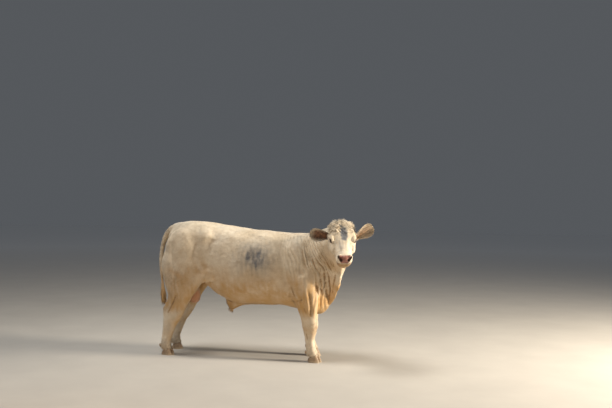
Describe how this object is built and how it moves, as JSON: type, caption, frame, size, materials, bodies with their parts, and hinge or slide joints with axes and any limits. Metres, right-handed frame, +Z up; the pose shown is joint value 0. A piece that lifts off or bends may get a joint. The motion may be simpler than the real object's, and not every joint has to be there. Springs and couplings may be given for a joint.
{
  "type": "charolais bull",
  "caption": "Life-size still model of a young polled Charolais bull, standing on level ground with its head turned to its right.",
  "frame": {"origin": "on the floor, under the middle of the animal's bounding box", "axes": "+Z up; +X from the tail to the chest; the head is turned towards -Y, which is the animal's right side"},
  "size_m": [2.4668, 1.094, 1.5259],
  "materials": {
    "coat": "short creamy white hair, curly on the poll",
    "muzzle_skin": "moist pink skin",
    "bare_skin": "thinly haired pink skin",
    "horn": "worn horn, amber grey",
    "eye": "wet gloss",
    "switch_hair": "long straight hair"
  },
  "bodies": {
    "root": {"torso": "coat", "neck": "coat", "head": "coat", "tail": "coat", "foreleg_right": "coat", "foreleg_left": "coat", "hindleg_right": "coat", "hindleg_left": "coat", "ear_right": "coat", "ear_left": "coat", "muzzle": "muzzle_skin", "scrotum": "bare_skin", "tail_switch": "switch_hair", "eye_right": "eye", "eye_left": "eye", "claw_fore_right_left": "horn", "claw_fore_right_right": "horn", "claw_fore_left_left": "horn", "claw_fore_left_right": "horn", "claw_hind_right_left": "horn", "claw_hind_right_right": "horn", "claw_hind_left_left": "horn", "claw_hind_left_right": "horn"}
  },
  "joints": []
}
